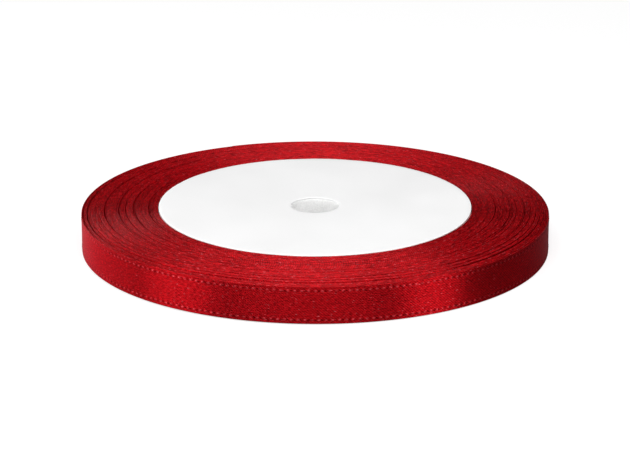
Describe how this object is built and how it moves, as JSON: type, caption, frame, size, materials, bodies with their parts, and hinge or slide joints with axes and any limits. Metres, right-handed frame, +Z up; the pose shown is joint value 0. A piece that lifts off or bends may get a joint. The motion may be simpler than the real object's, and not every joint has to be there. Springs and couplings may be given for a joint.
{
  "type": "ribbon spool",
  "caption": "Roll of red satin ribbon wound on a flat white foam core with paper-faced sides, a centre hole and a tail held down by clear tape.",
  "frame": {"origin": "centre of the spool's footprint on the surface it lies on", "axes": "+Z up along the spool's axis; the camera side is -Y, and the ribbon's loose end is on the +Y side, pointing to -X"},
  "size_m": [0.1257, 0.1262, 0.0115],
  "materials": {
    "white_foam": "fine closed-cell foam, matte white",
    "white_paper": "smooth coated paper, white",
    "red_satin": "single-face polyester satin, deep red",
    "masking_tape": "creped paper tape, matte",
    "clear_tape": "clear film tape, glossy"
  },
  "bodies": {
    "spool": {"foam_core": "white_foam", "label_lower": "white_paper", "label_upper": "white_paper", "ribbon_winding": "red_satin", "start_tape": "masking_tape"},
    "tail": {"ribbon_tail": "red_satin", "end_tape": "clear_tape"}
  },
  "joints": [
    {"name": "tail_lift", "type": "hinge", "parent": "spool", "child": "tail", "pos_m": [0.01855, 0.06029, 0.005], "axis": [0, 0, -1], "range_deg": [0, 75]}
  ]
}
